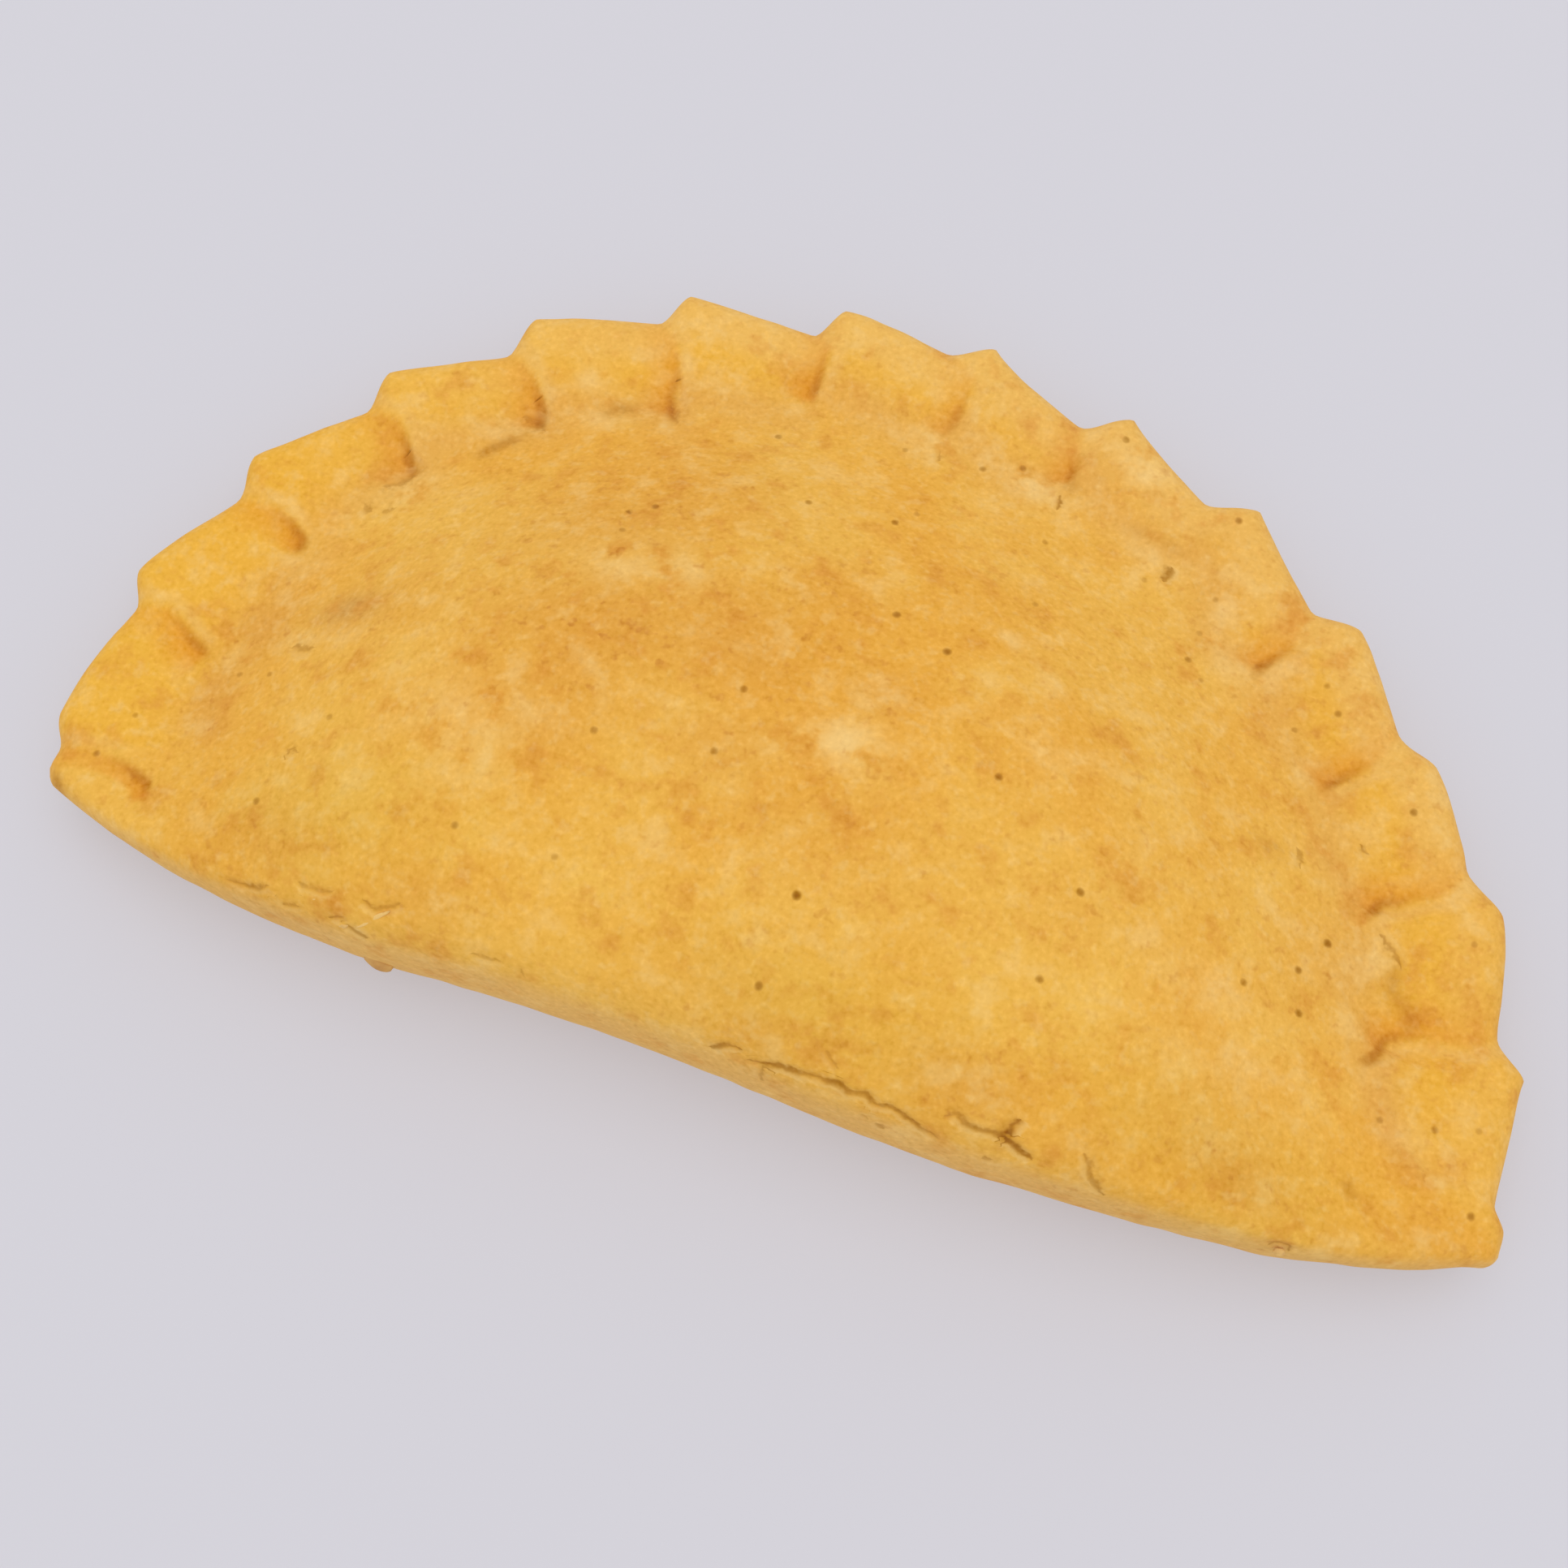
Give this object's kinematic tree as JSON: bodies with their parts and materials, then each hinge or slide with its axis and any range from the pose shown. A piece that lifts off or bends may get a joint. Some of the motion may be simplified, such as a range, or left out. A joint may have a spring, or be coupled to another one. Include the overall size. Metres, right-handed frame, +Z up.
{
  "type": "empanada",
  "caption": "Half-moon empanada: plump filled pastry body, straight rounded fold with fine cracks, and a pinched rim of overlapping pleats along the curved edge.",
  "frame": {"origin": "middle of the box around the empanada, at the height of its flat underside", "axes": "+X along the fold from the left corner to the right, +Y from the fold to the pleated edge, +Z up"},
  "size_m": [0.1524, 0.0872, 0.027],
  "materials": {
    "crust": "dry golden pastry crust, dull and slightly mealy"
  },
  "bodies": {
    "root": {"empanada": "crust"}
  },
  "joints": []
}
